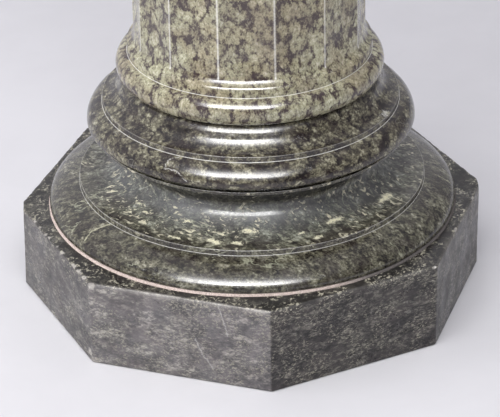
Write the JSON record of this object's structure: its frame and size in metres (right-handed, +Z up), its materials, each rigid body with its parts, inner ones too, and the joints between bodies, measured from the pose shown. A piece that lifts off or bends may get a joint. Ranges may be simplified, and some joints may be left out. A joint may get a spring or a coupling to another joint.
{
  "type": "marble pedestal",
  "caption": "Round fluted pedestal on turned base mouldings and an octagonal plinth, with a turned capital and a flat octagonal top.",
  "frame": {"origin": "centre of the plinth's underside, on the floor", "axes": "+Z up along the shaft's axis; a flat side of the octagonal plinth faces -Y"},
  "size_m": [0.32, 0.32, 1.015],
  "materials": {
    "plinth_marble": "dark grey-brown serpentine marble, polished, dulled and scratched by wear",
    "mortar": "pale pinkish bedding mortar, matt",
    "disc_marble": "dark green-grey breccia marble with cream flecks and veins, polished",
    "ring_marble": "olive-brown mottled marble with a few white veins, polished",
    "shaft_marble": "khaki green marble clouded with purple-brown, polished",
    "capital_marble": "olive-brown mottled marble, polished",
    "slab_marble": "dark grey-brown marble, polished"
  },
  "bodies": {
    "root": {"plinth": "plinth_marble", "mortar_bed": "mortar", "base_disc": "disc_marble", "base_ring": "ring_marble", "shaft": "shaft_marble", "capital": "capital_marble", "top_slab": "slab_marble"}
  },
  "joints": []
}
